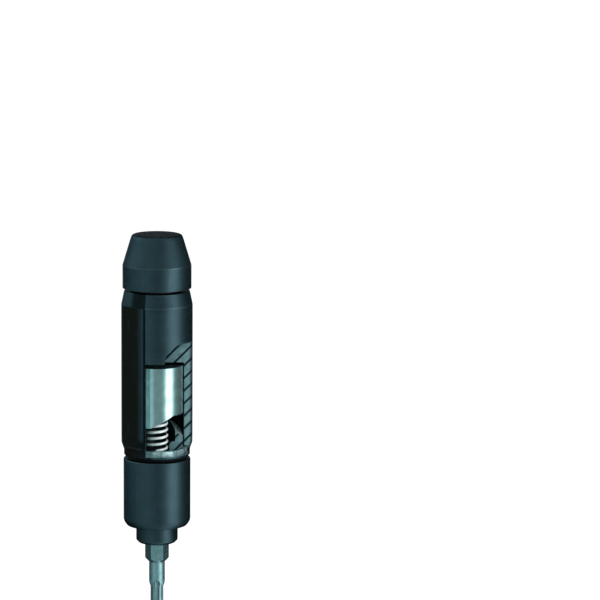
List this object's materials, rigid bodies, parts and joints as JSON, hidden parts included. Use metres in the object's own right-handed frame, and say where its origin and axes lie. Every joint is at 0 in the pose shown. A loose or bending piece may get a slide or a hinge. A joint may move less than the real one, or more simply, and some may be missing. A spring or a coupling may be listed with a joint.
{
  "type": "hand impact driver",
  "caption": "Cutaway hand impact driver: a struck cap drives helical teeth that turn the hex bit a part turn per blow, against a return spring.",
  "frame": {"origin": "on the tool's axis, at the tip of the bit", "axes": "+Z along the axis towards the striking cap; the cutaway window faces -Y and +X"},
  "size_m": [0.0274, 0.0274, 0.1439],
  "materials": {
    "black_steel": "satin blue-black, fine turning marks, edges worn to bare steel",
    "polished_steel": "ground and polished",
    "cam_steel": "hardened steel, machined, light on the cut face",
    "spring_steel": "bright drawn wire",
    "bare_steel": "ground",
    "bit_steel": "grey-green tool steel, blasted",
    "seal_rubber": "matte"
  },
  "bodies": {
    "housing": {"housing": "black_steel", "striking_cap": "black_steel", "cap_seal_ring": "seal_rubber", "cam_sleeve": "polished_steel", "drive_key_right": "bare_steel", "drive_key_left": "bare_steel", "upper_spring_seat": "bare_steel", "return_spring": "spring_steel", "end_bush": "polished_steel", "bush_lock_screw": "black_steel", "sleeve_snap_ring": "spring_steel", "sleeve_seal_ring": "seal_rubber"},
    "spring_thrust": {"lower_spring_washer": "bare_steel"},
    "output": {"output_spindle": "cam_steel", "bit_holder": "black_steel", "holder_pin": "bare_steel", "bit_clip": "spring_steel"},
    "sleeve": {"output_sleeve": "black_steel", "foot_seal_ring": "seal_rubber"},
    "bit": {"bit": "bit_steel"}
  },
  "joints": [
    {"name": "strike_stroke", "type": "slide", "parent": "housing", "child": "spring_thrust", "axis": [0, 0, 1], "range_m": [0, 0.0032], "stiffness_N_per_m": 3000, "springref_m": -0.004, "deforming": ["return_spring"]},
    {"name": "output_turn", "type": "hinge", "parent": "spring_thrust", "child": "output", "pos_m": [0, 0, 0.06], "axis": [0, 0, 1], "range_deg": [-36.7, 0]},
    {"name": "sleeve_turn", "type": "hinge", "parent": "housing", "child": "sleeve", "pos_m": [0, 0, 0.045], "axis": [0, 0, 1], "range_deg": [-36.7, 0]},
    {"name": "bit_pull", "type": "slide", "parent": "output", "child": "bit", "axis": [0, 0, -1], "range_m": [0, 0.012]}
  ],
  "couplings": [
    {"joint": "output_turn", "follows": "strike_stroke", "rad_per_m": -200.1},
    {"joint": "sleeve_turn", "follows": "strike_stroke", "rad_per_m": -200.1}
  ]
}
